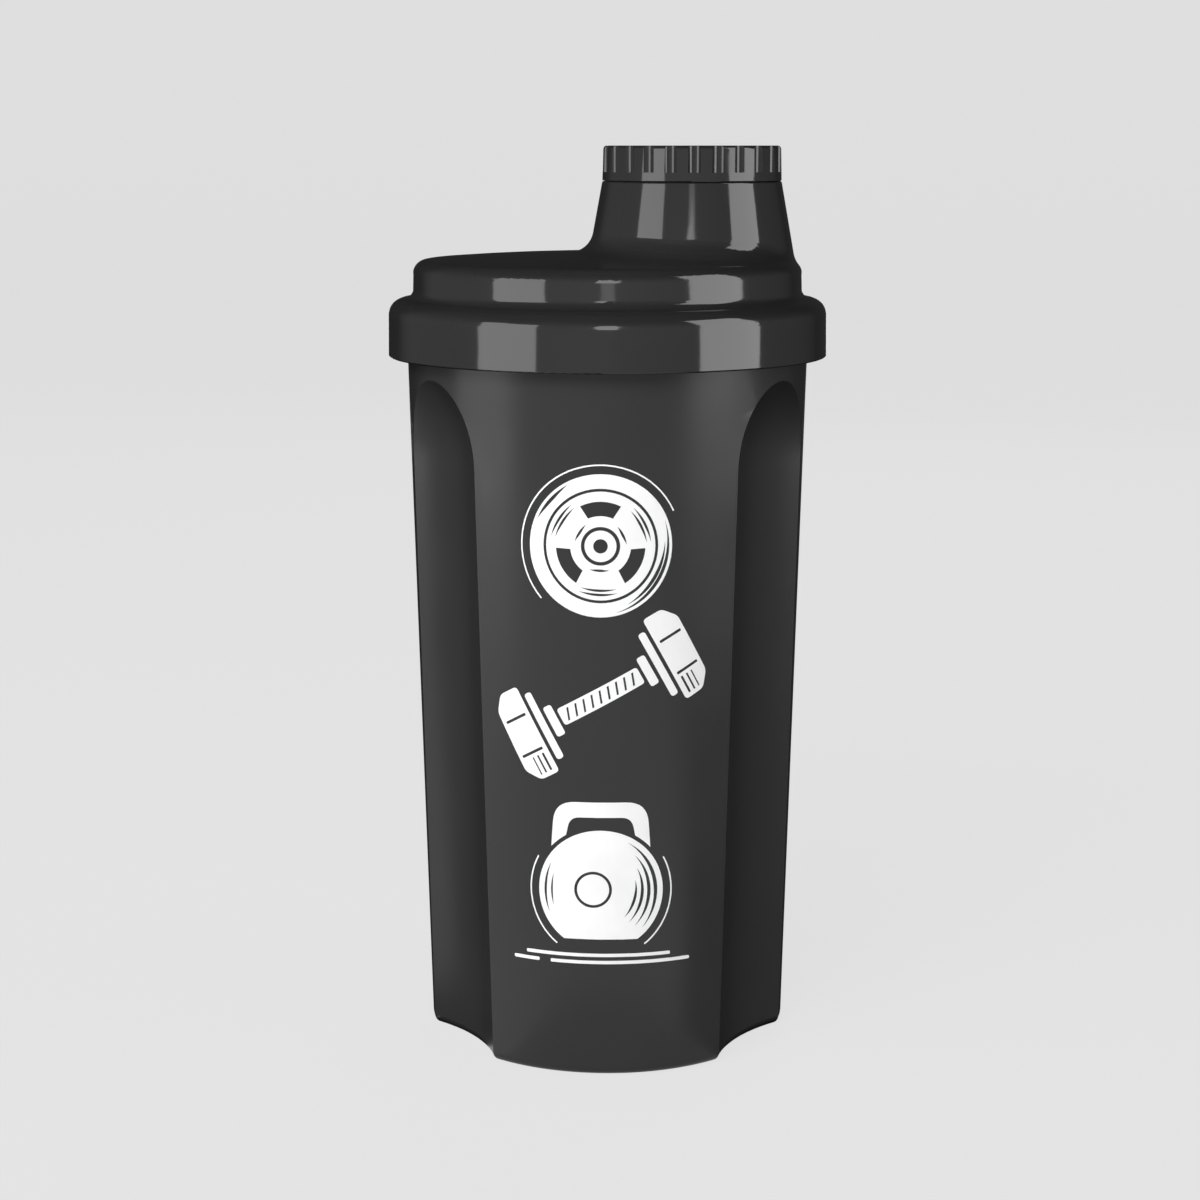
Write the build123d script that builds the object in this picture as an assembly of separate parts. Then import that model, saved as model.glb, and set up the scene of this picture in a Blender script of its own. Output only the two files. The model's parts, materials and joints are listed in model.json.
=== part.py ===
from build123d import *
import os
from math import atan, cos, degrees, hypot, radians, sin

# A 700 ml shaker bottle: fluted cup, screw lid with an off-centre drinking spout, screw cap, sieve, seals.
# Millimetres, +Z up, origin at the centre of the base, spout towards +X, the cup's front lobe towards -Y.

# ---- cup ----
CUP_BASE_R = 40.13        # outer radius of the lobes, carried down to the table
CUP_DRAFT = 0.0247        # growth of that radius per millimetre of height
CUP_SHOULDER_Z = 153.4    # where the fluted body ends, just inside the lid's skirt
CUP_SHOULDER_RISE = 0.6   # the slope from the body in to the neck
CUP_RIM_Z = 162.0         # top of the neck
CUP_WALL = 1.8
CUP_FLOOR = 2.2
NECK_R = 43.5             # plain neck under the thread
NECK_BORE_R = 41.6
NECK_BORE_DROP = 2.0      # the bore opens out to the body's wall this far below the shoulder
RIM_ROUND = 0.6
FOOT_ROUND = 2.2          # round at the foot of the lobes and flutes
INNER_FOOT_ROUND = 5.0
PUSH_UP_R = 30.0          # recess under the base, which leaves a standing ring
PUSH_UP = 1.3
PUSH_UP_SLOPE = 0.6

# ---- the three grip flutes ----
FLUTE_SPREAD = 57.7       # degrees from the front lobe's middle to the flute on each side of it
FLUTE_ANGLES = (90, 270 - FLUTE_SPREAD, 270 + FLUTE_SPREAD)
FLUTE_R = 40.0            # plan radius of the hollow
FLUTE_DEPTH = 4.7         # depth at the foot
FLUTE_LEAN = 0.0258       # the flute floor leans out this much per millimetre of height
FLUTE_ARCH_Z = 130.3      # where the floor starts to run out
FLUTE_ARCH_R = 36.0       # radius of that run-out, seen from the side
FLUTE_ARCH_TURN = 55      # degrees of that arc, enough to leave the cup

# ---- lid ----
SKIRT_Z = 152.3           # lower edge of the skirt
SKIRT_R = 48.1
SKIRT_TOP_R = 47.93
SKIRT_WALL = 2.1
SKIRT_ROUND = 3.6
SKIRT_EDGE_ROUND = 0.3
LEDGE_Z = 164.75          # flat between the skirt and the tier
LEDGE_WALL = 1.75
TIER_R = 42.68
TIER_TOP_R = 42.40        # at the edge of the crowned top, before its round
TIER_FOOT_ROUND = 1.9
TIER_ROUND = 3.0
LID_TOP_Z = 172.85        # edge of the crowned top, before its round
LID_CROWN = 1.8           # rise of the crown from that edge to the lid's axis
LID_WALL = 2.0
PLUG_Z = 157.5            # lower edge of the plug ring inside the cup's neck
PLUG_CLEARANCE = 0.5
PLUG_WALL = 1.8
SEAT_Z = 160.0            # bead inside the plug ring that the sieve seats against
SEAT_DEPTH = 1.3
SEAT_HEIGHT = 1.5

# ---- spout and its threaded neck ----
SPOUT_X = 18.36
SPOUT_TOP_Z = 189.85
SPOUT_TOP_R = 19.5
SPOUT_TAPER = 0.183       # growth of the radius per millimetre downwards
SPOUT_WALL = 2.0
SPOUT_EDGE_ROUND = 0.3
SPOUT_FOOT_ROUND = 5.2    # blend between the spout and the crowned top
MOUTH_R = 16.9
MOUTH_BORE_R = 15.0
MOUTH_Z = 195.1
MOUTH_ROUND = 0.5

# ---- spout cap ----
CAP_GAP = 0.06            # parting gap above the spout
CAP_R = 19.48
CAP_TOP_R = 19.28
CAP_TOP_Z = 197.5
CAP_ROOF = 1.5
CAP_BORE_R = 17.9
CAP_ROUND = 0.8
CAP_EDGE_ROUND = 0.25
GROOVES = 24
GROOVE_R = 1.5
GROOVE_FLOOR_R = 18.6     # distance of the groove floor from the cap's axis
GROOVE_Z = 191.9

# ---- seals ----
LID_SEAL_IN_R = 41.55
LID_SEAL_OUT_R = 44.6
CAP_SEAL_R = 17.3

# ---- sieve ----
SIEVE_CLEARANCE = 0.3
SIEVE_RIM = 1.6
SIEVE_PLATE = 1.4
SIEVE_HUB_R = 5.0
SIEVE_HOLE = 4.8
SIEVE_PITCH = 6.2
SIEVE_EDGE_R = 35.2       # outermost hole centre

BEYOND = 5.0              # how far a cutter reaches past what it cuts
MATCH = 0.05              # how closely a point of an edge has to lie on a surface to count as on it


def turned(corners, axis_x=0.0):
    """Revolve a closed outline of (radius, height, corner round) about an upright axis at axis_x.

    The outline is drawn towards -X, so that the seam of every turned face lies away from the spout.
    """
    points = [(-radius, 0, height) for radius, height, _ in corners]
    outline = FilletPolyline(*points, radius=[corner[2] for corner in corners], close=True)
    return Pos(axis_x, 0, 0) * revolve(make_face(outline), Axis.Z)


def ring(inner_r, outer_r, low, high):
    """A plain flat ring about the lid's axis."""
    height = high - low
    return Pos(0, 0, low + height / 2) * (Cylinder(outer_r, height) - Cylinder(inner_r, height))


def cup_r(z):
    """Outer radius of the cup's lobes at a height."""
    return CUP_BASE_R + CUP_DRAFT * z


def spout_r(z):
    """Outer radius of the spout's cone at a height."""
    return SPOUT_TOP_R + SPOUT_TAPER * (SPOUT_TOP_Z - z)


def flute_cutters(offset):
    """The three flute-shaped cutters, grown by an offset so that the inside follows the outside."""
    radius = FLUTE_R + offset
    arch_r = FLUTE_ARCH_R + offset
    low = -2 * BEYOND

    def arch(turn):
        angle = radians(turn)
        return radius - arch_r * (1 - cos(angle)), 0, FLUTE_ARCH_Z + arch_r * sin(angle)

    end = arch(FLUTE_ARCH_TURN)
    outline = [
        Line((0, 0, low), (radius, 0, low)),
        Line((radius, 0, low), arch(0)),
        ThreePointArc(arch(0), arch(FLUTE_ARCH_TURN / 2), end),
        Line(end, (0, 0, end[2])),
        Line((0, 0, end[2]), (0, 0, low)),
    ]
    blank = revolve(make_face(outline), Axis.Z)
    axis_r = CUP_BASE_R - FLUTE_DEPTH + FLUTE_R
    cutter = Pos(axis_r, 0, 0) * Rot(0, degrees(atan(FLUTE_LEAN)), 0) * blank
    return [Rot(0, 0, angle) * cutter for angle in FLUTE_ANGLES]


def fluted(blank, offset):
    """Cut the three flutes into a turned blank."""
    for cutter in flute_cutters(offset):
        blank = blank - cutter
    return blank


def make_bottle():
    """The cup: a drafted, fluted shell of even wall with a plain neck for the thread."""
    shoulder_r = cup_r(CUP_SHOULDER_Z)
    outside = fluted(turned([
        (0, 0, 0),
        (CUP_BASE_R, 0, 0),
        (shoulder_r, CUP_SHOULDER_Z, 0),
        (NECK_R, CUP_SHOULDER_Z + CUP_SHOULDER_RISE, 0),
        (NECK_R, CUP_RIM_Z, RIM_ROUND),
        (0, CUP_RIM_Z, 0),
    ]), 0)
    foot = outside.edges().group_by(Axis.Z)[0]
    outside = fillet(foot, FOOT_ROUND)

    floor_z = PUSH_UP + CUP_FLOOR
    top_z = CUP_RIM_Z + BEYOND
    cavity = fluted(turned([
        (0, floor_z, 0),
        (cup_r(floor_z) - CUP_WALL, floor_z, INNER_FOOT_ROUND),
        (shoulder_r - CUP_WALL, CUP_SHOULDER_Z - NECK_BORE_DROP, 0),
        (NECK_BORE_R, CUP_SHOULDER_Z, 0),
        (NECK_BORE_R, top_z, 0),
        (0, top_z, 0),
    ]), CUP_WALL)
    push_up = turned([
        (0, -BEYOND, 0),
        (PUSH_UP_R + PUSH_UP_SLOPE, -BEYOND, 0),
        (PUSH_UP_R + PUSH_UP_SLOPE, 0, 0),
        (PUSH_UP_R, PUSH_UP, 0),
        (0, PUSH_UP, 0),
    ])
    return outside - cavity - push_up


def crown(depth):
    """A ball whose top is the lid's crowned top, or a surface at an even depth below it."""
    crown_r = (TIER_TOP_R ** 2 + LID_CROWN ** 2) / (2 * LID_CROWN)
    return Pos(0, 0, LID_TOP_Z + LID_CROWN - crown_r) * Sphere(crown_r - depth)


def on_spout(edge):
    """Whether an edge lies on the spout's cone, at its foot."""
    points = [edge.position_at(share / 4) for share in range(5)]
    off = [abs(hypot(point.X - SPOUT_X, point.Y) - spout_r(point.Z)) for point in points]
    return max(off) < MATCH and edge.center().Z < LID_TOP_Z + BEYOND


def lid_outside():
    """Skirt, ledge, tier and crowned top, with the spout's cone blended into it."""
    blank = turned([
        (0, SKIRT_Z, 0),
        (SKIRT_R, SKIRT_Z, SKIRT_EDGE_ROUND),
        (SKIRT_TOP_R, LEDGE_Z, SKIRT_ROUND),
        (TIER_R, LEDGE_Z, TIER_FOOT_ROUND),
        (TIER_TOP_R, LID_TOP_Z, 0),
        (TIER_TOP_R, LID_TOP_Z + BEYOND, 0),
        (0, LID_TOP_Z + BEYOND, 0),
    ])
    body = blank & crown(0)
    level_edges = [edge for edge in body.edges() if edge.bounding_box().size.Z < MATCH]
    top_edge = max(level_edges, key=lambda edge: edge.center().Z)
    body = fillet(top_edge, TIER_ROUND)
    cone = turned([
        (0, LEDGE_Z, 0),
        (spout_r(LEDGE_Z), LEDGE_Z, 0),
        (SPOUT_TOP_R, SPOUT_TOP_Z, SPOUT_EDGE_ROUND),
        (MOUTH_R, SPOUT_TOP_Z, SPOUT_EDGE_ROUND),
        (MOUTH_R, MOUTH_Z, MOUTH_ROUND),
        (0, MOUTH_Z, 0),
    ], SPOUT_X)
    body = body + cone
    return fillet([edge for edge in body.edges() if on_spout(edge)], SPOUT_FOOT_ROUND)


def make_lid():
    """One even-walled moulding: the outside, less the hollow under the skirt, the plug's bore and the spout's."""
    plug_r = NECK_BORE_R - PLUG_CLEARANCE
    seat_r = plug_r - PLUG_WALL
    tier_bore_r = TIER_TOP_R - LID_WALL
    skirt_bore_r = SKIRT_R - SKIRT_WALL
    low = SKIRT_Z - BEYOND
    under_skirt = turned([
        (0, low, 0),
        (skirt_bore_r, low, 0),
        (skirt_bore_r, LEDGE_Z - LEDGE_WALL, 0),
        (plug_r, LEDGE_Z - LEDGE_WALL, 0),
        (plug_r, PLUG_Z, 0),
        (0, PLUG_Z, 0),
    ])
    plug_bore = turned([
        (0, low, 0),
        (seat_r, low, 0),
        (seat_r, SEAT_Z, 0),
        (seat_r - SEAT_DEPTH, SEAT_Z, 0),
        (seat_r - SEAT_DEPTH, SEAT_Z + SEAT_HEIGHT, 0),
        (tier_bore_r, LEDGE_Z, 0),
        (tier_bore_r, LID_TOP_Z + BEYOND, 0),
        (0, LID_TOP_Z + BEYOND, 0),
    ]) & crown(LID_WALL)
    channel_top = SPOUT_TOP_Z - SPOUT_WALL
    channel = turned([
        (0, LEDGE_Z, 0),
        (spout_r(LID_TOP_Z) - SPOUT_WALL, LEDGE_Z, 0),
        (spout_r(LID_TOP_Z) - SPOUT_WALL, LID_TOP_Z - LID_WALL, 0),
        (spout_r(channel_top) - SPOUT_WALL, channel_top, 0),
        (MOUTH_BORE_R, channel_top, 0),
        (MOUTH_BORE_R, MOUTH_Z + BEYOND, 0),
        (0, MOUTH_Z + BEYOND, 0),
    ], SPOUT_X)
    return lid_outside() - under_skirt - plug_bore - channel


def make_lid_seal():
    """Soft flat ring that the lid presses onto the cup's rim."""
    return ring(LID_SEAL_IN_R, LID_SEAL_OUT_R, CUP_RIM_Z, LEDGE_Z - LEDGE_WALL)


def make_spout_cap():
    """Screw cap with grip grooves that run out through its rounded top edge."""
    low = SPOUT_TOP_Z + CAP_GAP
    cap = turned([
        (CAP_BORE_R, low, 0),
        (CAP_R, low, CAP_EDGE_ROUND),
        (CAP_TOP_R, CAP_TOP_Z, CAP_ROUND),
        (0, CAP_TOP_Z, 0),
        (0, CAP_TOP_Z - CAP_ROOF, 0),
        (CAP_BORE_R, CAP_TOP_Z - CAP_ROOF, 0),
    ])
    height = CAP_TOP_Z - GROOVE_Z + BEYOND
    groove = Pos(GROOVE_FLOOR_R + GROOVE_R, 0, GROOVE_Z + height / 2) * Cylinder(GROOVE_R, height)
    for index in range(GROOVES):
        cap = cap - Rot(0, 0, index * 360 / GROOVES) * groove
    return Pos(SPOUT_X, 0, 0) * cap


def make_cap_seal():
    """Liner disc between the cap's roof and the rim of the spout's mouth."""
    height = CAP_TOP_Z - CAP_ROOF - MOUTH_Z
    return Pos(SPOUT_X, 0, MOUTH_Z + height / 2) * Cylinder(CAP_SEAL_R, height)


def make_sieve():
    """Grille with a low rim, which seats against the bead in the lid's plug ring."""
    sieve_r = NECK_BORE_R - PLUG_CLEARANCE - PLUG_WALL - SIEVE_CLEARANCE
    body = turned([
        (0, PLUG_Z, 0),
        (sieve_r, PLUG_Z, 0),
        (sieve_r, SEAT_Z, 0),
        (sieve_r - SIEVE_RIM, SEAT_Z, 0),
        (sieve_r - SIEVE_RIM, PLUG_Z + SIEVE_PLATE, 0),
        (0, PLUG_Z + SIEVE_PLATE, 0),
    ])
    reach = int(sieve_r / SIEVE_PITCH) + 1
    places = [index * SIEVE_PITCH for index in range(-reach, reach + 1)]
    inner_r = SIEVE_HUB_R + SIEVE_HOLE / 2
    centres = [(x, y) for x in places for y in places if inner_r < hypot(x, y) < SIEVE_EDGE_R]
    holes = Sketch() + [Pos(x, y) * Rectangle(SIEVE_HOLE, SIEVE_HOLE) for x, y in centres]
    cutter = Pos(0, 0, PLUG_Z - BEYOND) * extrude(holes, SIEVE_PLATE + 2 * BEYOND)
    return body - cutter


def main():
    os.makedirs("parts", exist_ok=True)
    pieces = {
        "bottle": make_bottle(),
        "lid": make_lid(),
        "lid_seal": make_lid_seal(),
        "mixing_sieve": make_sieve(),
        "spout_cap": make_spout_cap(),
        "cap_seal": make_cap_seal(),
    }
    for name, piece in pieces.items():
        export_step(piece, f"parts/{name}.step")


main()
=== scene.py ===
"""The looks of a 700 ml shaker bottle: satin cup, glossy lid and cap, threads, seals and print."""
import json
import logging
import math
from dataclasses import dataclass, field
from enum import Enum

import bmesh
import bpy
from mathutils import Euler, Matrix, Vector


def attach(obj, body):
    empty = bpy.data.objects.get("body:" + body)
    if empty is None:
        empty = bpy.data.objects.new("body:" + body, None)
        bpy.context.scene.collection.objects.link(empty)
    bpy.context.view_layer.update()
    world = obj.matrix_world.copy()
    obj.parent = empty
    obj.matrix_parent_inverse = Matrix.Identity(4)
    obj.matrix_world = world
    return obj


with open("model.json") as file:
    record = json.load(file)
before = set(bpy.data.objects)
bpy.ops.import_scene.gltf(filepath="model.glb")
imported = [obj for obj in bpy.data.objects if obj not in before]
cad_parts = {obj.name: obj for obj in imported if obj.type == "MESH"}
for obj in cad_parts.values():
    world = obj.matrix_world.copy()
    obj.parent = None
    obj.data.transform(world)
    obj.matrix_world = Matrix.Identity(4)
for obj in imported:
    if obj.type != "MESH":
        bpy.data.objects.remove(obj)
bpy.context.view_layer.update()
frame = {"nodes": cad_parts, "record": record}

LOG = logging.getLogger("shaker")
MM = 0.001
Colour = tuple[float, float, float]
Span = tuple[float, float]
Point = tuple[float, float]
Corner = tuple[float, float, float]
Outline = list[Point]
Face = tuple[int, ...]


class Body(Enum):
    """The rigid bodies that the added pieces ride on."""

    BOTTLE = "bottle"
    LID = "lid"
    CAP = "cap"


class Slot(Enum):
    """The record's material slots."""

    CUP = "cup_plastic"
    LID = "lid_plastic"
    SIEVE = "sieve_plastic"
    SEAL = "seal_rubber"
    INK = "print_ink"


class ThreadSide(Enum):
    """Which wall a thread ridge stands on: outside a neck, or inside a skirt."""

    OUTSIDE = 1
    INSIDE = -1


# ---------------------------------------------------------------- finishes

# The range that most of a noise's values lie in.
NOISE_LOW = 0.3
NOISE_HIGH = 0.7


class Graph:
    """A material's node tree, with short calls that add and join nodes."""

    def __init__(self, name: str) -> None:
        """Start a material with a Principled shader.

        Args:
            name: The material's name.
        """
        self.material = bpy.data.materials.new(name)
        self.material.use_nodes = True
        self.nodes = self.material.node_tree.nodes
        self.links = self.material.node_tree.links
        self.shader = self.nodes["Principled BSDF"]

    def add(self, kind: str, **values: object) -> bpy.types.Node:
        """Add a node and set its properties or, by their names, its unlinked sockets.

        Args:
            kind: The node type, such as ShaderNodeBump.
            **values: Property or socket values; a socket's spaces are written as underscores.

        Returns:
            The new node.
        """
        node = self.nodes.new(kind)
        for key, value in values.items():
            socket = node.inputs.get(key.replace("_", " "))
            if socket is not None:
                socket.default_value = value
            else:
                setattr(node, key, value)
        return node

    def join(self, source: bpy.types.NodeSocket, node: bpy.types.Node, socket: str) -> None:
        """Link a socket to a node's input.

        Args:
            source: The socket that gives the value.
            node: The node that takes it.
            socket: The name of that node's input.
        """
        self.links.new(source, node.inputs[socket])

    def noise(self, size: float, detail: float = 2.0) -> bpy.types.NodeSocket:
        """Add solid noise in the object's own space.

        Args:
            size: The size of a blotch or grain, in metres.
            detail: The number of finer octaves.

        Returns:
            The noise value's socket, about 0.5 on average.
        """
        place = self.add("ShaderNodeTexCoord")
        noise = self.add("ShaderNodeTexNoise", Scale=1.0 / size, Detail=detail)
        self.join(place.outputs["Object"], noise, "Vector")
        return noise.outputs["Fac"]

    def spread(self, value: bpy.types.NodeSocket, low: float, high: float) -> bpy.types.NodeSocket:
        """Map the range that most of a noise lies in onto another range.

        Args:
            value: The noise.
            low: The value where the noise is at NOISE_LOW.
            high: The value where the noise is at NOISE_HIGH.

        Returns:
            The mapped value's socket.
        """
        mapped = self.add(
            "ShaderNodeMapRange", From_Min=NOISE_LOW, From_Max=NOISE_HIGH, To_Min=low, To_Max=high)
        self.join(value, mapped, "Value")
        return mapped.outputs["Result"]


@dataclass(frozen=True)
class Moulded:
    """A moulded plastic or rubber surface with fine grain and slow changes of tone and gloss.

    Sizes and heights are in metres. The waves are the slow, low ones of a moulded gloss surface.
    """

    name: str
    dark: Colour
    light: Colour
    tone_size: float
    roughness: Span
    gloss_size: float
    grain_size: float
    grain_height: float
    wave_size: float = 0.014
    wave_height: float = 0.0
    ior: float = 1.49

    def build(self) -> bpy.types.Material:
        """Make the material.

        Returns:
            The material.
        """
        graph = Graph(self.name)
        shader = graph.shader
        shader.inputs["IOR"].default_value = self.ior
        tone = graph.add("ShaderNodeValToRGB")
        stops = ((NOISE_LOW, self.dark), (NOISE_HIGH, self.light))
        for element, (position, colour) in zip(tone.color_ramp.elements, stops):
            element.position = position
            element.color = (*colour, 1.0)
        graph.join(graph.noise(self.tone_size), tone, "Fac")
        graph.join(tone.outputs["Color"], shader, "Base Color")
        gloss = graph.spread(graph.noise(self.gloss_size, detail=3.0), *self.roughness)
        graph.join(gloss, shader, "Roughness")
        grain = graph.add("ShaderNodeBump", Distance=self.grain_height, Strength=1.0)
        graph.join(graph.noise(self.grain_size), grain, "Height")
        if self.wave_height > 0:
            wave = graph.add("ShaderNodeBump", Distance=self.wave_height, Strength=1.0)
            graph.join(graph.noise(self.wave_size, detail=1.0), wave, "Height")
            graph.join(wave.outputs["Normal"], grain, "Normal")
        graph.join(grain.outputs["Normal"], shader, "Normal")
        return graph.material


CUP_SATIN = Moulded(
    name="cup_satin",
    dark=(0.0175, 0.0175, 0.0175),
    light=(0.0210, 0.0210, 0.0208),
    tone_size=0.05,
    roughness=(0.28, 0.34),
    gloss_size=0.02,
    grain_size=0.0004,
    grain_height=0.000005,
)
LID_GLOSS = Moulded(
    name="lid_gloss",
    dark=(0.016, 0.016, 0.016),
    light=(0.019, 0.019, 0.019),
    tone_size=0.05,
    roughness=(0.06, 0.10),
    gloss_size=0.02,
    grain_size=0.0012,
    grain_height=0.0000012,
    wave_height=0.000005,
)
SIEVE_PLASTIC = Moulded(
    name="sieve_plastic",
    dark=(0.022, 0.022, 0.023),
    light=(0.030, 0.030, 0.030),
    tone_size=0.02,
    roughness=(0.34, 0.46),
    gloss_size=0.01,
    grain_size=0.0005,
    grain_height=0.00001,
)
SEAL_SILICONE = Moulded(
    name="seal_silicone",
    dark=(0.27, 0.28, 0.29),
    light=(0.33, 0.34, 0.35),
    tone_size=0.012,
    roughness=(0.55, 0.7),
    gloss_size=0.006,
    grain_size=0.0003,
    grain_height=0.00001,
    ior=1.41,
)
PRINT_INK = Moulded(
    name="print_ink",
    dark=(0.90, 0.90, 0.90),
    light=(0.96, 0.96, 0.96),
    tone_size=0.01,
    roughness=(0.5, 0.62),
    gloss_size=0.004,
    grain_size=0.00025,
    grain_height=0.000008,
)


# ---------------------------------------------------------------- mesh helpers


def tube_faces(rings: int, sides: int, first: int = 0) -> list[Face]:
    """The four-sided faces that join closed rings of vertices.

    Args:
        rings: The number of rings.
        sides: The number of vertices in each ring.
        first: The index of the first ring's first vertex.

    Returns:
        Vertex indices of each face.
    """
    faces: list[Face] = []
    for ring in range(rings - 1):
        low = first + ring * sides
        high = low + sides
        for side in range(sides):
            after = (side + 1) % sides
            faces.append((low + side, low + after, high + after, high + side))
    return faces


def mesh_piece(name: str, points: list[Vector], faces: list[Face], smooth: bool) -> bpy.types.Object:
    """Make a mesh object with outward normals.

    Args:
        name: The piece's name.
        points: Vertices in the CAD frame, in metres.
        faces: Vertex indices of each face.
        smooth: Whether faces are shaded smooth.

    Returns:
        The new object, linked to the scene.
    """
    mesh = bpy.data.meshes.new(name)
    mesh.from_pydata(points, [], faces)
    mesh.validate()
    solid = bmesh.new()
    solid.from_mesh(mesh)
    bmesh.ops.recalc_face_normals(solid, faces=solid.faces)
    solid.to_mesh(mesh)
    solid.free()
    for polygon in mesh.polygons:
        polygon.use_smooth = smooth
    piece = bpy.data.objects.new(name, mesh)
    bpy.context.scene.collection.objects.link(piece)
    return piece


def dress(piece: bpy.types.Object, material: bpy.types.Material) -> bpy.types.Object:
    """Give a piece its material.

    Args:
        piece: The CAD mesh or the added piece.
        material: The only material it gets.

    Returns:
        The same piece.
    """
    piece.data.materials.clear()
    piece.data.materials.append(material)
    return piece


def even_shading(piece: bpy.types.Object) -> None:
    """Weigh a polished CAD mesh's shading by its larger faces, so that highlights keep clean edges.

    Args:
        piece: The CAD mesh.
    """
    even = piece.modifiers.new("even_shading", "WEIGHTED_NORMAL")
    even.mode = "FACE_AREA_WITH_ANGLE"
    even.keep_sharp = True


def soften(piece: bpy.types.Object, width: float, steps: int = 2, sharp_from: float = 25.0) -> None:
    """Round a piece's sharp edges with a bevel.

    Args:
        piece: The mesh object.
        width: The bevel's width in metres.
        steps: The bevel's steps.
        sharp_from: The least angle of an edge that is rounded, in degrees.
    """
    bevel = piece.modifiers.new("edge_round", "BEVEL")
    bevel.width = width
    bevel.segments = steps
    bevel.limit_method = "ANGLE"
    bevel.angle_limit = math.radians(sharp_from)


def polar(radius: float, angle: float, height: float, centre_x: float = 0.0) -> Vector:
    """A point from its place round an upright axis.

    Args:
        radius: The distance from the axis.
        angle: The angle from +X, in radians.
        height: The height.
        centre_x: The axis's x.

    Returns:
        The point.
    """
    return Vector((centre_x + radius * math.cos(angle), radius * math.sin(angle), height))


# ---------------------------------------------------------------- screw threads


def screw_lead(joint: str) -> float:
    """The rise of one whole turn of a screw joint, from the frame's coupling.

    Args:
        joint: The name of the joint that turns.

    Returns:
        The lead in metres.
    """
    couplings = frame["record"]["behaviour"]["couplings"]
    ratio = next(coupling["ratio"] for coupling in couplings if coupling["joint"] == joint)
    return math.tau / ratio


@dataclass
class Thread:
    """One start of a right-hand screw thread, as a closed tapered ridge along a helix.

    Lengths are in metres and the start angle in radians from +X. The run-out at each end is in turns.
    """

    name: str
    side: ThreadSide
    root_radius: float
    height: float
    width: float
    lead: float
    start_height: float
    turns: float
    start_angle: float
    centre_x: float = 0.0
    steps_per_turn: int = 96
    run_out: float = 0.09
    least_swell: float = 0.02
    end_width_share: float = 0.35
    crest_share: float = 0.45
    bevel_share: float = 0.12
    bite: float = 0.0003

    def mate(self, name: str, root_radius: float, height: float, drop: float, phase: float) -> "Thread":
        """The one-turn thread inside the wall round this one's neck, which bears on this one from below.

        Args:
            name: The new ridge's name.
            root_radius: The radius of the wall that it stands on, in metres.
            height: How far it stands out of that wall, in metres.
            drop: How far it runs below this ridge, in metres.
            phase: How far along this ridge it starts, in turns.

        Returns:
            The mating thread.
        """
        return Thread(
            name, ThreadSide.INSIDE, root_radius, height, self.width, self.lead,
            start_height=self.start_height - drop + self.lead * phase,
            turns=1.0,
            start_angle=self.start_angle + phase * math.tau,
            centre_x=self.centre_x)

    def section(self, turn: float) -> list[Vector]:
        """The corners of the ridge's cross-section, from its lower foot over its crest.

        Args:
            turn: How far along the ridge it is, in turns.

        Returns:
            The corners.
        """
        ramp = min(1.0, turn / self.run_out, (self.turns - turn) / self.run_out)
        swell = math.sin(max(ramp, self.least_swell) * math.pi / 2)
        angle = self.start_angle + turn * math.tau
        middle = self.start_height + self.lead * turn
        foot = self.root_radius - self.side.value * self.bite
        crest = self.root_radius + self.side.value * self.height * swell
        half_foot = self.width / 2 * (self.end_width_share + (1 - self.end_width_share) * swell)
        half_crest = half_foot * self.crest_share
        profile = ((foot, -half_foot), (crest, -half_crest), (crest, half_crest), (foot, half_foot))
        return [polar(radius, angle, middle + offset, self.centre_x) for radius, offset in profile]

    def build(self) -> bpy.types.Object:
        """Make the ridge, which fades into the wall at both ends.

        Returns:
            The ridge.
        """
        steps = round(self.turns * self.steps_per_turn)
        sections = [self.section(self.turns * step / steps) for step in range(steps + 1)]
        points = [corner for section in sections for corner in section]
        corners = len(sections[0])
        near_end = tuple(range(corners))
        far_end = tuple(corners * steps + corner for corner in reversed(range(corners)))
        faces = [near_end, far_end, *tube_faces(len(sections), corners)]
        piece = mesh_piece(self.name, points, faces, smooth=True)
        soften(piece, self.width * self.bevel_share)
        return piece


def neck_thread() -> Thread:
    """The thread outside the cup's neck.

    Returns:
        The thread.
    """
    return Thread(
        "neck_thread", ThreadSide.OUTSIDE, root_radius=43.5 * MM, height=1.3 * MM, width=1.9 * MM,
        lead=screw_lead("lid_turn"), start_height=154.2 * MM, turns=1.3, start_angle=0.3)


def mouth_thread() -> Thread:
    """The thread outside the spout's mouth.

    Returns:
        The thread.
    """
    return Thread(
        "mouth_thread", ThreadSide.OUTSIDE, root_radius=16.9 * MM, height=0.6 * MM, width=1.0 * MM,
        lead=screw_lead("cap_turn"), start_height=190.5 * MM, turns=1.55, start_angle=1.0,
        centre_x=18.36 * MM)


# ---------------------------------------------------------------- flat drawing


def bow(radius: float, start: float, end: float, centre: Point = (0.0, 0.0), steps: int = 24) -> Outline:
    """Points along an arc.

    Args:
        radius: The arc's radius.
        start: The first point's angle, in degrees.
        end: The last point's angle, in degrees.
        centre: The arc's centre.
        steps: The number of steps between the ends.

    Returns:
        The points.
    """
    points: Outline = []
    for step in range(steps + 1):
        angle = math.radians(start + (end - start) * step / steps)
        points.append((centre[0] + radius * math.cos(angle), centre[1] + radius * math.sin(angle)))
    return points


def disc(radius: float, centre: Point = (0.0, 0.0), steps: int = 72) -> Outline:
    """A full circle as an outline.

    Args:
        radius: The circle's radius.
        centre: The circle's centre.
        steps: The number of its points.

    Returns:
        The outline.
    """
    return bow(radius, 0.0, 360.0, centre, steps)[:-1]


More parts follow.
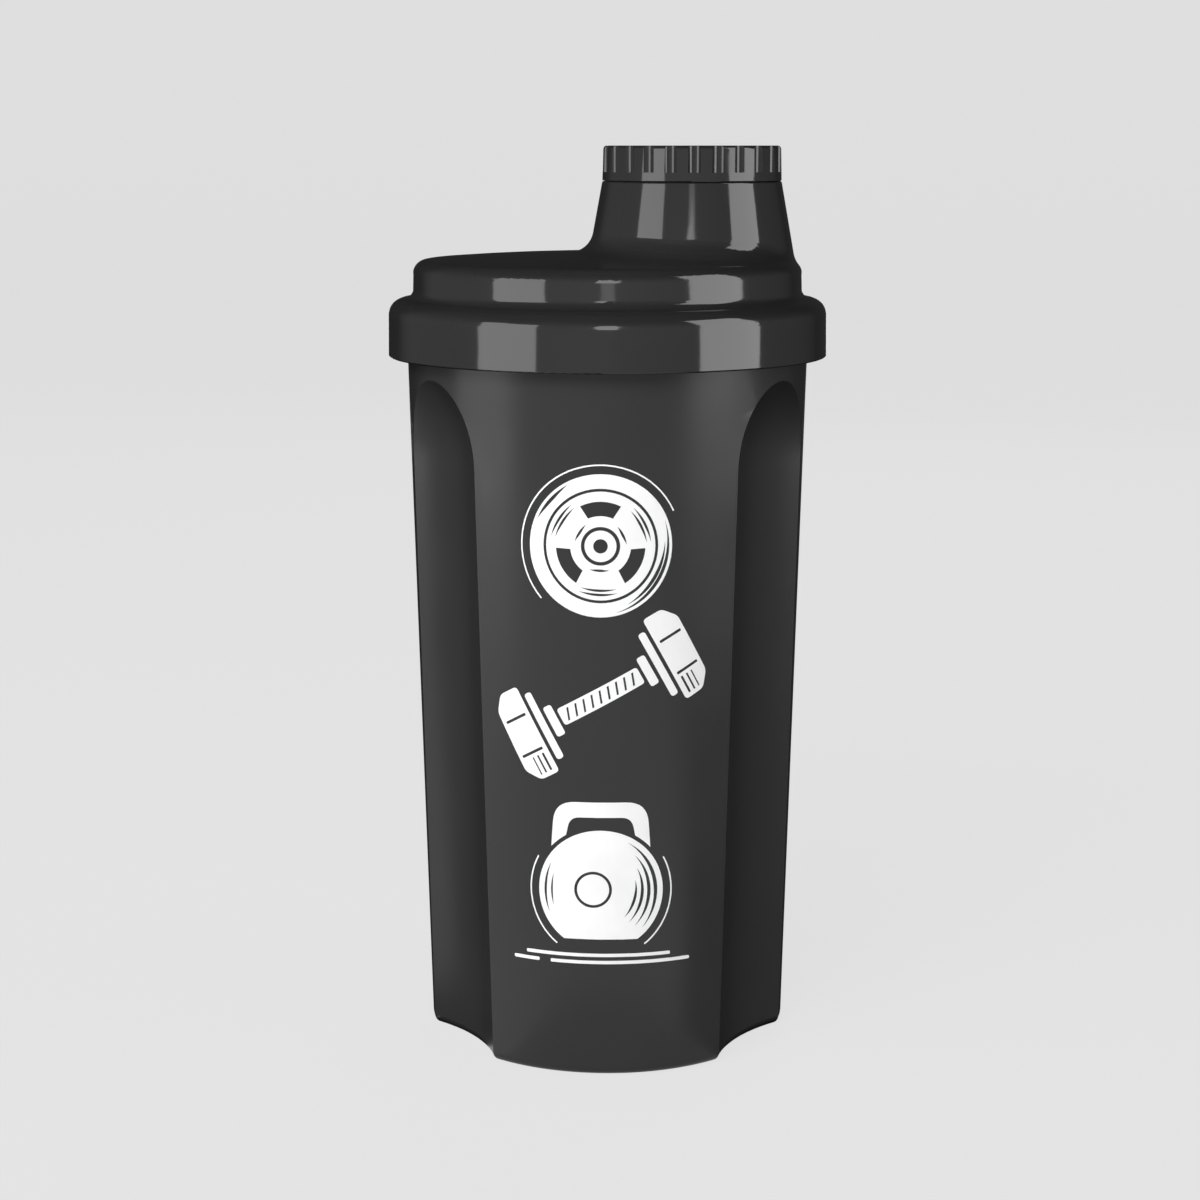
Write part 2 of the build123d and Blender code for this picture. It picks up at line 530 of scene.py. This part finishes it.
def stroke(radius: float, width: float, start: float, end: float, steps: int = 18) -> Outline:
    """A brush stroke along an arc about the origin, widest in its middle and pointed at both ends.

    Args:
        radius: The radius of its outer edge.
        width: Its greatest width.
        start: Its first end's angle, in degrees.
        end: Its last end's angle, in degrees.
        steps: The number of steps along it.

    Returns:
        The outline.
    """
    outer = bow(radius, start, end, steps=steps)
    inner: Outline = []
    for step in range(1, steps):
        angle = math.radians(start + (end - start) * step / steps)
        reach = radius - width * math.sin(math.pi * step / steps)
        inner.append((reach * math.cos(angle), reach * math.sin(angle)))
    return outer + inner[::-1]


def thin_arc(radius: float, width: float, span: Span, centre: Point, steps: int = 36) -> Outline:
    """A thin line of even width along an arc.

    Args:
        radius: The radius of its inner edge.
        width: Its width.
        span: The angles of its ends, in degrees.
        centre: The arc's centre.
        steps: The number of steps along it.

    Returns:
        The outline.
    """
    start, end = span
    return bow(radius, start, end, centre, steps) + bow(radius + width, end, start, centre, steps)


def rounded(corners: list[Corner], steps: int = 5) -> Outline:
    """A polygon with rounded corners.

    Args:
        corners: Each corner's x, z and cut, which is how far from it the rounding starts.
        steps: The number of steps round a corner.

    Returns:
        The outline.
    """
    points: Outline = []
    for index, (x, z, cut) in enumerate(corners):
        here = Vector((x, z))
        before = (Vector(corners[index - 1][:2]) - here).normalized() * cut
        after = (Vector(corners[(index + 1) % len(corners)][:2]) - here).normalized() * cut
        for step in range(steps + 1 if cut > 0 else 1):
            share = step / steps
            point = here + before * (1 - share) ** 2 + after * share ** 2
            points.append((point.x, point.y))
    return points


def slab(left: float, low: float, right: float, high: float, cut: float) -> Outline:
    """A rectangle with rounded corners.

    Args:
        left: The left edge's x.
        low: The lower edge's z.
        right: The right edge's x.
        high: The upper edge's z.
        cut: How far from each corner the rounding starts.

    Returns:
        The outline.
    """
    return rounded([(left, low, cut), (right, low, cut), (right, high, cut), (left, high, cut)])


def scaled(outlines: list[Outline], scale: float) -> list[Outline]:
    """Scale outlines about the origin.

    Args:
        outlines: The outlines.
        scale: The factor.

    Returns:
        The scaled outlines.
    """
    return [[(x * scale, z * scale) for x, z in outline] for outline in outlines]


def mirrored(outlines: list[Outline]) -> list[Outline]:
    """Mirror outlines left to right.

    Args:
        outlines: The outlines.

    Returns:
        The mirrored outlines.
    """
    return [[(-x, z) for x, z in outline] for outline in outlines]


def placed(outlines: list[Outline], place: Point, tilt: float = 0.0) -> list[Outline]:
    """Turn outlines about the origin and then move them.

    Args:
        outlines: The outlines.
        place: Where the origin goes.
        tilt: How far they turn anticlockwise, in degrees.

    Returns:
        The placed outlines.
    """
    across = math.cos(math.radians(tilt))
    up = math.sin(math.radians(tilt))
    return [
        [(place[0] + x * across - z * up, place[1] + x * up + z * across) for x, z in outline]
        for outline in outlines
    ]


# ---------------------------------------------------------------- the print's motifs


@dataclass(frozen=True)
class WeightPlate:
    """A weight plate seen from its face: rim, groove, three grips, hub and shading strokes.

    The radius is in millimetres, other sizes are shares of it, and angles are in degrees. The rim's
    strokes are given by their radius and ends.
    """

    radius: float = 15.0
    ring_shares: tuple[float, ...] = (1.0, 0.80, 0.76, 0.27, 0.22, 0.10)
    grips: int = 3
    first_grip: float = 90.0
    grip_steps: int = 12
    grip_outer: float = 0.62
    grip_outer_half: float = 27.0
    grip_inner: float = 0.42
    grip_inner_half: float = 24.0
    web_shares: tuple[float, ...] = (0.70, 0.64, 0.36)
    web_width: float = 0.035
    web_span: Span = (-26.0, 20.0)
    rim_width: float = 0.05
    rim_strokes: tuple[tuple[float, ...], ...] = (
        (0.96, -78.0, 22.0),
        (0.90, -66.0, 4.0),
        (0.96, 118.0, 158.0),
    )

    def grip(self, middle: float) -> Outline:
        """Draw one of the openings that the plate is held by.

        Args:
            middle: Its direction, in degrees.

        Returns:
            The outline.
        """
        half = self.grip_outer_half
        outer = bow(self.radius * self.grip_outer, middle - half, middle + half, steps=self.grip_steps)
        half = self.grip_inner_half
        inner = bow(self.radius * self.grip_inner, middle + half, middle - half, steps=self.grip_steps)
        return outer + inner

    def outlines(self) -> list[Outline]:
        """Draw the plate about the origin.

        Returns:
            The outlines.
        """
        drawn = [disc(self.radius * share) for share in self.ring_shares]
        pitch = 360.0 / self.grips
        for index in range(self.grips):
            middle = self.first_grip + index * pitch
            drawn.append(self.grip(middle))
            start, end = (middle + pitch / 2 + angle for angle in self.web_span)
            for share in self.web_shares:
                drawn.append(stroke(self.radius * share, self.radius * self.web_width, start, end))
        for share, start, end in self.rim_strokes:
            drawn.append(stroke(self.radius * share, self.radius * self.rim_width, start, end))
        return drawn


@dataclass(frozen=True)
class Dumbbell:
    """A hexagonal dumbbell seen from its side, cut into stencil pieces.

    It is drawn with a half length of drawn_half and then scaled to half_length, in millimetres. The
    knurls' lean and far edge are in millimetres from the start. Collars and grooves are given by
    their left, low, right and high edges and by their corners' cut.
    """

    half_length: float = 22.5
    tilt: float = 29.0
    drawn_half: float = 22.0
    handle_half: Point = (9.4, 1.9)
    handle_cut: float = 0.7
    knurls: int = 9
    knurl_pitch: float = 1.9
    knurl_lean: float = 0.7
    knurl_far: float = 0.25
    knurl_half_height: float = 1.3
    collars: tuple[tuple[float, ...], ...] = (
        (10.1, -3.4, 12.0, 3.4, 0.6),
        (12.8, -7.6, 14.4, 7.6, 0.7),
    )
    head: tuple[Point, ...] = (
        (15.2, -9.8), (19.6, -9.8), (22.0, -6.8), (22.0, 6.8), (19.6, 9.8), (15.2, 9.8))
    head_cut: float = 0.9
    grooves: tuple[tuple[float, ...], ...] = (
        (16.1, 3.6, 21.2, 4.2, 0.25),
        (16.1, -4.2, 21.2, -3.6, 0.25),
        (16.4, -8.9, 16.9, -4.9, 0.2),
        (17.7, -8.9, 18.1, -4.9, 0.15),
        (18.9, -8.9, 19.2, -4.9, 0.1),
    )

    def outlines(self) -> list[Outline]:
        """Draw the dumbbell level, about the origin.

        Returns:
            The outlines.
        """
        unit = self.half_length / self.drawn_half
        half_x, half_z = self.handle_half[0] * unit, self.handle_half[1] * unit
        drawn = [slab(-half_x, -half_z, half_x, half_z, self.handle_cut * unit)]
        lean, far, half_knurl = self.knurl_lean, self.knurl_far, self.knurl_half_height * unit
        for index in range(self.knurls):
            x = (index - self.knurls // 2) * self.knurl_pitch * unit
            foot = [(x - lean, -half_knurl), (x - far, -half_knurl)]
            top = [(x + lean, half_knurl), (x + far, half_knurl)]
            drawn.append(foot + top)
        end = [slab(*edges) for edges in self.collars]
        end.append(rounded([(x, z, self.head_cut) for x, z in self.head]))
        end += [slab(*edges) for edges in self.grooves]
        return drawn + scaled(end, unit) + scaled(mirrored(end), unit)


@dataclass(frozen=True)
class Kettlebell:
    """A kettlebell seen from the front: ball with a flat foot, handle, boss and shading strokes.

    The radius is in millimetres, other sizes are shares of it, and angles are in degrees. The
    handle's corners are given on its right side. Strokes are given by their radius, width and ends.
    """

    radius: float = 13.4
    ball_span: Span = (-54.0, 234.0)
    ball_steps: int = 80
    foot_radius: float = 1.065
    foot_steps: int = 4
    left_foot: Span = (138.0, 121.0)
    right_foot: Span = (59.0, 42.0)
    handle_outer: Corner = (0.74, 1.46, 0.34)
    handle_outer_steps: int = 8
    handle_inner: Corner = (0.49, 1.21, 0.16)
    handle_inner_steps: int = 6
    strokes: tuple[tuple[float, ...], ...] = (
        (0.91, 0.06, -44.0, 62.0),
        (0.80, 0.055, -48.0, 48.0),
        (0.69, 0.05, -50.0, 34.0),
        (0.58, 0.045, -50.0, 18.0),
        (0.91, 0.04, 150.0, 206.0),
        (0.80, 0.03, 160.0, 200.0),
    )
    boss_centre: Point = (-0.12, 0.02)
    boss_radii: tuple[float, ...] = (0.30, 0.255)

    def handle(self) -> Outline:
        """Draw the handle, whose feet follow the ball at a small gap.

        Returns:
            The outline.
        """
        left = bow(self.foot_radius, *self.left_foot, steps=self.foot_steps)
        right = bow(self.foot_radius, *self.right_foot, steps=self.foot_steps)
        x, z, cut = self.handle_outer
        outer = [(*right[-1], 0), (x, z, cut), (-x, z, cut), (*left[0], 0)]
        x, z, cut = self.handle_inner
        inner = [(*left[-1], 0), (-x, z, cut), (x, z, cut), (*right[0], 0)]
        drawn = rounded(outer, self.handle_outer_steps) + left[1:-1]
        return drawn + rounded(inner, self.handle_inner_steps) + right[1:-1]

    def outlines(self) -> list[Outline]:
        """Draw the kettlebell about the middle of its ball.

        Returns:
            The outlines.
        """
        drawn = [bow(1.0, *self.ball_span, steps=self.ball_steps), self.handle()]
        drawn += [stroke(*sizes) for sizes in self.strokes]
        drawn += [disc(radius, self.boss_centre) for radius in self.boss_radii]
        return scaled(drawn, self.radius)


# ---------------------------------------------------------------- the studio


class Reach(Enum):
    """What a light shows on: (polished reflections, matt shading)."""

    GLOSS = (True, False)
    SHADE = (False, True)


class LampShape(Enum):
    """The outline of a studio light."""

    SQUARE_CORNERED = "RECTANGLE"
    OVAL = "ELLIPSE"


@dataclass(frozen=True)
class Softbox:
    """An upright studio light that faces the bottle's axis.

    The azimuth is in degrees from -Y towards +X, and lengths are in metres. A light that names CAD
    nodes lights only those.
    """

    name: str
    azimuth: float
    distance: float
    low: float
    high: float
    width: float
    radiance: float
    reach: Reach
    shape: LampShape = LampShape.SQUARE_CORNERED
    nodes: tuple[str, ...] = ()

    def build(self) -> None:
        """Make the light."""
        angle = math.radians(self.azimuth)
        middle = (self.low + self.high) / 2
        place = Vector((math.sin(angle) * self.distance, -math.cos(angle) * self.distance, middle))
        lamp = bpy.data.lights.new(self.name, "AREA")
        lamp.shape = self.shape.value
        lamp.size = self.width
        lamp.size_y = self.high - self.low
        lamp.energy = self.radiance * math.pi * lamp.size * lamp.size_y
        light = bpy.data.objects.new(self.name, lamp)
        light.location = place
        to_axis = Vector((0.0, 0.0, place.z)) - place
        light.rotation_euler = to_axis.to_track_quat("-Z", "Y").to_euler()
        light.visible_camera = False
        light.visible_glossy, light.visible_diffuse = self.reach.value
        if self.nodes:
            receivers = bpy.data.collections.new(self.name + "_receivers")
            for node in self.nodes:
                receivers.objects.link(frame["nodes"][node])
            light.light_linking.receiver_collection = receivers
        bpy.context.scene.collection.objects.link(light)


def paper(name: str, shade: float, glow: float) -> bpy.types.Material:
    """Make matt paper that is lit partly by itself, so that it stays even.

    Args:
        name: The material's name.
        shade: How much light it sends back.
        glow: How much light it gives by itself.

    Returns:
        The material.
    """
    graph = Graph(name)
    graph.shader.inputs["Base Color"].default_value = (shade, shade, shade, 1.0)
    graph.shader.inputs["Roughness"].default_value = 1.0
    graph.shader.inputs["Specular IOR Level"].default_value = 0.0
    graph.shader.inputs["Emission Color"].default_value = (1.0, 1.0, 1.0, 1.0)
    graph.shader.inputs["Emission Strength"].default_value = glow
    return graph.material


@dataclass(frozen=True)
class Bounce:
    """A round sheet on the floor that only polished reflections see, with its sizes in metres."""

    name: str
    centre: Point
    radius: float
    height: float
    glow: float
    sides: int = 48

    def build(self) -> None:
        """Lay the sheet."""
        middle = Vector((*self.centre, self.height))
        angles = [math.tau * side / self.sides for side in range(self.sides)]
        points = [middle + polar(self.radius, angle, 0.0) for angle in angles]
        sheet = mesh_piece(self.name, points, [tuple(range(self.sides))], smooth=False)
        sheet.data.materials.append(paper(self.name + "_paper", 0.0, self.glow))
        sheet.visible_camera = False
        sheet.visible_diffuse = False
        sheet.visible_shadow = False


@dataclass
class Studio:
    """Camera, pale surround, soft lights and the dim room that the gloss reflects.

    Lengths are in metres, but the lens and the sensor are in millimetres. Angles are in degrees. The
    room's shades are given round the horizon from -Y towards +X, and its fade by the sine of the
    angle above or below the horizon.
    """

    camera_distance: float = 0.52765
    camera_height: float = 0.19746
    camera_side: float = -0.00163
    camera_azimuth: float = 0.57
    camera_pitch: float = 10.771
    lens: float = 71.643
    sensor_width: float = 36.0
    nearest: float = 0.01
    floor_radius: float = 4.0
    wall_height: float = 4.5
    wall_bend: float = 1.2
    bend_steps: int = 12
    wall_sides: int = 72
    paper_shade: float = 0.06
    paper_glow: float = 0.72
    bounces: tuple[Bounce, ...] = (
        Bounce("bounce_front", (-0.20, -0.45), 0.46, 0.0, 0.80),
        # The second sheet lies over bounce_front in front of the cup's foot and glows less than it. It is a
        # dim light, and also painted shade that stands for the shaded floor round the foot in the cup's
        # reflections.
        Bounce("foot_shade_bounce", (0.0, -0.052), 0.033, 0.0004, 0.50),
    )
    room_shades: tuple[tuple[float, float], ...] = (
        (-180.0, 0.02), (-140.0, 0.02), (-122.0, 0.20), (-76.0, 0.38), (-60.0, 0.45), (-10.0, 0.62),
        (48.0, 0.50), (88.0, 0.42), (112.0, 0.26), (140.0, 0.06), (180.0, 0.02))
    room_fade: tuple[tuple[float, float], ...] = ((0.0, 1.0), (0.2, 0.85), (0.5, 0.35), (0.8, 0.06))
    # Each light's name, azimuth, distance, low and high edge, width, radiance, reach, shape and nodes.
    softboxes: tuple[Softbox, ...] = (
        Softbox("softbox_left", -51.0, 0.75, 0.08, 0.47, 0.43, 3.35, Reach.GLOSS, nodes=("lid", "spout_cap")),
        Softbox("softbox_right", 65.0, 0.75, 0.07, 0.90, 0.485, 4.3, Reach.GLOSS),
        Softbox("low_left", -71.0, 0.75, 0.00, 0.09, 0.48, 3.4, Reach.GLOSS, nodes=("bottle",)),
        Softbox("oval_front", 0.5, 0.60, 0.19, 0.385, 0.14, 3.3, Reach.GLOSS, LampShape.OVAL, ("lid",)),
        Softbox("strip_front", 0.5, 0.60, 0.142, 0.42, 0.12, 1.0, Reach.GLOSS, LampShape.OVAL, ("lid",)),
        Softbox("key_front", -25.0, 1.00, 0.50, 1.10, 0.80, 11.0, Reach.SHADE),
        Softbox("key_left", -60.0, 1.20, 0.10, 1.10, 0.80, 3.0, Reach.SHADE),
        Softbox("fill_right", 80.0, 1.20, 0.10, 1.10, 0.80, 1.6, Reach.SHADE),
        Softbox("fill_back", 165.0, 1.30, 0.50, 1.30, 1.00, 3.0, Reach.SHADE),
        Softbox(
            "low_back", 176.0, 1.30, 0.00, 0.60, 1.00, 12.0, Reach.SHADE,
            nodes=("bottle", "lid", "spout_cap")),
        Softbox("rear_low", 180.0, 0.90, 0.00, 0.13, 0.45, 1.1, Reach.GLOSS),
        Softbox("rear_cup", 180.0, 0.90, 0.02, 0.35, 0.45, 0.7, Reach.GLOSS, nodes=("bottle",)),
    )

    def build_camera(self) -> None:
        """Stand the camera in front of the bottle, level with the cap's top and tilted down."""
        camera = bpy.data.cameras.new("camera")
        camera.lens = self.lens
        camera.sensor_width = self.sensor_width
        camera.clip_start = self.nearest
        azimuth = math.radians(self.camera_azimuth)
        place = Vector((self.camera_side, -self.camera_distance, self.camera_height))
        place.rotate(Euler((0, 0, azimuth)))
        holder = bpy.data.objects.new("camera", camera)
        holder.location = place
        holder.rotation_euler = (math.radians(90 - self.camera_pitch), 0, azimuth)
        bpy.context.scene.collection.objects.link(holder)
        bpy.context.scene.camera = holder

    def build_surround(self) -> None:
        """Make a pale floor that curves up into a round wall, and that the bottle doesn't reflect."""
        outline: list[Point] = []
        for step in range(self.bend_steps + 1):
            turn = math.pi / 2 * step / self.bend_steps
            outline.append((
                self.floor_radius - self.wall_bend * (1 - math.sin(turn)),
                self.wall_bend * (1 - math.cos(turn))))
        outline.append((self.floor_radius, self.wall_height))
        angles = [math.tau * side / self.wall_sides for side in range(self.wall_sides)]
        points = [Vector((0, 0, 0))]
        for radius, height in outline:
            points += [polar(radius, angle, height) for angle in angles]
        floor = [(0, 1 + side, 1 + (side + 1) % self.wall_sides) for side in range(self.wall_sides)]
        faces = floor + tube_faces(len(outline), self.wall_sides, first=1)
        surround = mesh_piece("surround", points, faces, smooth=True)
        surround.data.materials.append(paper("surround_paper", self.paper_shade, self.paper_glow))
        surround.visible_glossy = False
        surround.visible_diffuse = False

    def build_room(self) -> None:
        """Light the room by direction, with shades round the horizon that fade upwards and downwards."""
        world = bpy.data.worlds.new("room")
        world.use_nodes = True
        bpy.context.scene.world = world
        nodes, links = world.node_tree.nodes, world.node_tree.links
        place = nodes.new("ShaderNodeTexCoord")
        turned = nodes.new("ShaderNodeVectorRotate")
        turned.rotation_type = "Z_AXIS"
        turned.inputs["Angle"].default_value = math.radians(90)
        azimuth = nodes.new("ShaderNodeTexGradient")
        azimuth.gradient_type = "RADIAL"
        split = nodes.new("ShaderNodeSeparateXYZ")
        slope = nodes.new("ShaderNodeMath")
        slope.operation = "ABSOLUTE"
        mixed = nodes.new("ShaderNodeMixRGB")
        mixed.blend_type = "MULTIPLY"
        mixed.inputs["Fac"].default_value = 1.0
        links.new(place.outputs["Generated"], turned.inputs["Vector"])
        links.new(turned.outputs["Vector"], azimuth.inputs["Vector"])
        links.new(place.outputs["Generated"], split.inputs["Vector"])
        links.new(split.outputs["Z"], slope.inputs[0])
        round_horizon = [(turn / 360 + 0.5, shade) for turn, shade in self.room_shades]
        ramps = (
            (azimuth.outputs["Fac"], "Color1", round_horizon),
            (slope.outputs["Value"], "Color2", self.room_fade),
        )
        for source, socket, stops in ramps:
            ramp = nodes.new("ShaderNodeValToRGB")
            elements = ramp.color_ramp.elements
            while len(elements) < len(stops):
                elements.new(0.5)
            for element, (position, shade) in zip(elements, stops):
                element.position = position
                element.color = (shade, shade, shade, 1.0)
            links.new(source, ramp.inputs["Fac"])
            links.new(ramp.outputs["Color"], mixed.inputs[socket])
        links.new(mixed.outputs["Color"], nodes["Background"].inputs["Color"])

    def build(self) -> None:
        """Make everything round the bottle."""
        self.build_camera()
        self.build_surround()
        for bounce in self.bounces:
            bounce.build()
        self.build_room()
        for softbox in self.softboxes:
            softbox.build()
        bpy.context.scene.view_settings.view_transform = "Standard"


# ---------------------------------------------------------------- the bottle's sub-assemblies


@dataclass(frozen=True)
class FrontPrint:
    """The white print on the cup's front lobe: gym weights in a column, with thin outlines.

    Lengths are in millimetres and angles in degrees. The ground lines are given by their ends and by
    how far they are above the first one.
    """

    centre: float = -1.1
    plate: WeightPlate = WeightPlate()
    plate_height: float = 116.5
    plate_arc: Span = (25.0, 222.0)
    dumbbell: Dumbbell = Dumbbell()
    dumbbell_height: float = 84.5
    kettlebell: Kettlebell = Kettlebell()
    kettlebell_height: float = 42.0
    kettlebell_arcs: tuple[Span, ...] = ((152.0, 232.0), (-52.0, 28.0))
    line_gap: float = 1.7
    line_width: float = 0.32
    ground_gap: float = 1.4
    ground_width: float = 0.75
    ground_cut: float = 0.3
    ground_lines: tuple[tuple[float, ...], ...] = (
        (-17.5, 14.0, 0.0),
        (-12.0, 18.5, -1.6),
        (-20.5, -14.5, -1.6),
    )
    cut_across: Span = (-30.0, 30.0)
    cut_up: Span = (20.0, 140.0)
    cut_step: float = 2.0
    weld: float = 0.002
    draft_heights: Span = (30.0, 130.0)
    search_radius: float = 100.0
    search_half_angle: int = 12
    stand_off: float = 0.03
    thickness: float = 0.03

    def outlines(self) -> list[Outline]:
        """Draw the print flat, in millimetres, with X to the right and Z up the cup.

        Returns:
            The outlines.
        """
        plate = (self.centre, self.plate_height)
        middle = (self.centre, self.dumbbell_height)
        bell = (self.centre, self.kettlebell_height)
        drawn = placed(self.plate.outlines(), plate)
        drawn += placed(self.dumbbell.outlines(), middle, self.dumbbell.tilt)
        drawn += placed(self.kettlebell.outlines(), bell)
        arcs = [(self.plate.radius, self.plate_arc, plate)]
        arcs += [(self.kettlebell.radius, span, bell) for span in self.kettlebell_arcs]
        for radius, span, spot in arcs:
            drawn.append(thin_arc(radius + self.line_gap, self.line_width, span, spot))
        ground = self.kettlebell_height - self.kettlebell.radius - self.ground_gap
        for left, right, rise in self.ground_lines:
            low = ground + rise
            drawn.append(slab(left, low, right, low + self.ground_width, self.ground_cut))
        return drawn

    def flat_mesh(self) -> bpy.types.Mesh:
        """Fill the outlines, with each one inside another taken as a hole or as an island in that hole.

        Returns:
            The flat mesh, in metres.
        """
        curve = bpy.data.curves.new("print_outlines", "CURVE")
        curve.dimensions = "2D"
        curve.fill_mode = "BOTH"
        for outline in self.outlines():
            spline = curve.splines.new("POLY")
            spline.points.add(len(outline) - 1)
            for point, (x, z) in zip(spline.points, outline):
                point.co = (x * MM, z * MM, 0.0, 1.0)
            spline.use_cyclic_u = True
        drawing = bpy.data.objects.new("print_outlines", curve)
        mesh = drawing.to_mesh().copy()
        drawing.to_mesh_clear()
        bpy.data.objects.remove(drawing)
        return mesh

    def lobe_radius(self, cup: bpy.types.Object, height: float) -> float:
        """Measure the outer radius of the cup's front lobe.

        Args:
            cup: The cup's CAD mesh.
            height: Where it is measured, in metres.

        Returns:
            The greatest radius near the lobe's middle, in metres.
        """
        radii: list[float] = []
        for step in range(-self.search_half_angle, self.search_half_angle + 1):
            angle = math.radians(-90 + step)
            outside = polar(self.search_radius * MM, angle, height)
            hit, place, _, _ = cup.ray_cast(outside, polar(-1.0, angle, 0.0))
            if hit:
                radii.append(math.hypot(place.x, place.y))
        return max(radii)

    def build(self, cup: bpy.types.Object) -> bpy.types.Object:
        """Wrap the print round the front lobe as a thin closed layer of ink.

        Args:
            cup: The cup's CAD mesh, whose radius the ink follows.

        Returns:
            The print.
        """
        low, high = (height * MM for height in self.draft_heights)
        low_radius, high_radius = self.lobe_radius(cup, low), self.lobe_radius(cup, high)
        draft = (high_radius - low_radius) / (high - low)
        weld = self.weld * MM
        layer = bmesh.new()
        layer.from_mesh(self.flat_mesh())
        bmesh.ops.remove_doubles(layer, verts=layer.verts, dist=weld)
        cuts = ((Vector((1, 0, 0)), self.cut_across), (Vector((0, 1, 0)), self.cut_up))
        for normal, (first, last) in cuts:
            for index in range(round((last - first) / self.cut_step) + 1):
                place = normal * (first + index * self.cut_step) * MM
                geometry = layer.verts[:] + layer.edges[:] + layer.faces[:]
                bmesh.ops.bisect_plane(layer, geom=geometry, plane_co=place, plane_no=normal, dist=weld)
        bmesh.ops.dissolve_degenerate(layer, edges=layer.edges, dist=weld)
        for vertex in layer.verts:
            flat = vertex.co.copy()
            radius = low_radius + draft * (flat.y - low) + self.stand_off * MM
            vertex.co = polar(radius, flat.x / radius - math.pi / 2, flat.y)
        mesh = bpy.data.meshes.new("front_print")
        layer.to_mesh(mesh)
        layer.free()
        piece = bpy.data.objects.new("front_print", mesh)
        bpy.context.scene.collection.objects.link(piece)
        ink = piece.modifiers.new("ink", "SOLIDIFY")
        ink.thickness = self.thickness * MM
        ink.offset = 1.0
        return piece


@dataclass
class Cup:
    """The fluted cup, the thread on its neck and the print on its front."""

    thread: Thread = field(default_factory=neck_thread)
    front_print: FrontPrint = field(default_factory=FrontPrint)

    def build(self) -> None:
        """Dress the cup, and add its neck's thread and its print."""
        cup = frame["nodes"]["bottle"]
        satin = CUP_SATIN.build()
        dress(cup, satin)
        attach(dress(self.thread.build(), satin), Body.BOTTLE.value)
        ink = self.front_print.build(cup)
        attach(dress(ink, PRINT_INK.build()), Body.BOTTLE.value)


@dataclass
class Lid:
    """The lid with its spout, the threads inside its skirt and on its mouth, and its seal."""

    skirt_thread: Thread = field(default_factory=lambda: neck_thread().mate(
        "skirt_thread", root_radius=46.0 * MM, height=1.5 * MM, drop=2.05 * MM, phase=0.48))
    mouth_thread: Thread = field(default_factory=mouth_thread)

    def build(self) -> None:
        """Dress the lid and its seal, and add both threads."""
        gloss = LID_GLOSS.build()
        even_shading(dress(frame["nodes"]["lid"], gloss))
        for thread in (self.skirt_thread, self.mouth_thread):
            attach(dress(thread.build(), gloss), Body.LID.value)
        dress(frame["nodes"]["lid_seal"], SEAL_SILICONE.build())


@dataclass
class SpoutCap:
    """The grooved screw cap, its thread and its liner."""

    thread: Thread = field(default_factory=lambda: mouth_thread().mate(
        "cap_thread", root_radius=17.9 * MM, height=0.65 * MM, drop=1.15 * MM, phase=0.56))

    def build(self) -> None:
        """Dress the cap and its liner, and add the thread inside it."""
        gloss = LID_GLOSS.build()
        even_shading(dress(frame["nodes"]["spout_cap"], gloss))
        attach(dress(self.thread.build(), gloss), Body.CAP.value)
        dress(frame["nodes"]["cap_seal"], SEAL_SILICONE.build())


class Sieve:
    """The grille inside the lid."""

    def build(self) -> None:
        """Dress the sieve."""
        dress(frame["nodes"]["mixing_sieve"], SIEVE_PLASTIC.build())


def main() -> None:
    """Build the studio and every sub-assembly."""
    logging.basicConfig(level=logging.INFO, format="%(name)s: %(message)s")
    for part in (Studio(), Cup(), Lid(), SpoutCap(), Sieve()):
        part.build()
        LOG.info("built %s", type(part).__name__)


if __name__ == "__main__":
    main()
